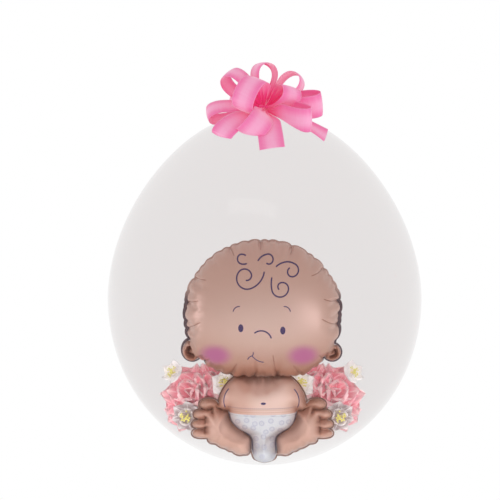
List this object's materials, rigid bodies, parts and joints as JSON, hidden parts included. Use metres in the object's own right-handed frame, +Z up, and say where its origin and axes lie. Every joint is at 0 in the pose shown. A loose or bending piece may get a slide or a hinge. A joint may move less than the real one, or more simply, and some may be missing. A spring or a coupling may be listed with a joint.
{
  "type": "stuffing balloon",
  "caption": "Clear stuffing balloon that stands neck up on a small flat, with a tied neck and a ribbon pull bow.",
  "frame": {"origin": "centre of the small flat on which the balloon stands", "axes": "+Z up along the balloon's axis to its neck; the front, with the bow and the figure's face, faces -Y"},
  "size_m": [0.41, 0.41, 0.5208],
  "materials": {
    "clear_film": "thin clear latex, smooth and glossy",
    "pink_ribbon": "satin ribbon",
    "tan_foil": "satin printed foil film",
    "flower_fabric": "thin woven petals"
  },
  "bodies": {
    "root": {"balloon": "clear_film", "neck_tie": "pink_ribbon", "ribbon_bow": "pink_ribbon"}
  },
  "joints": []
}
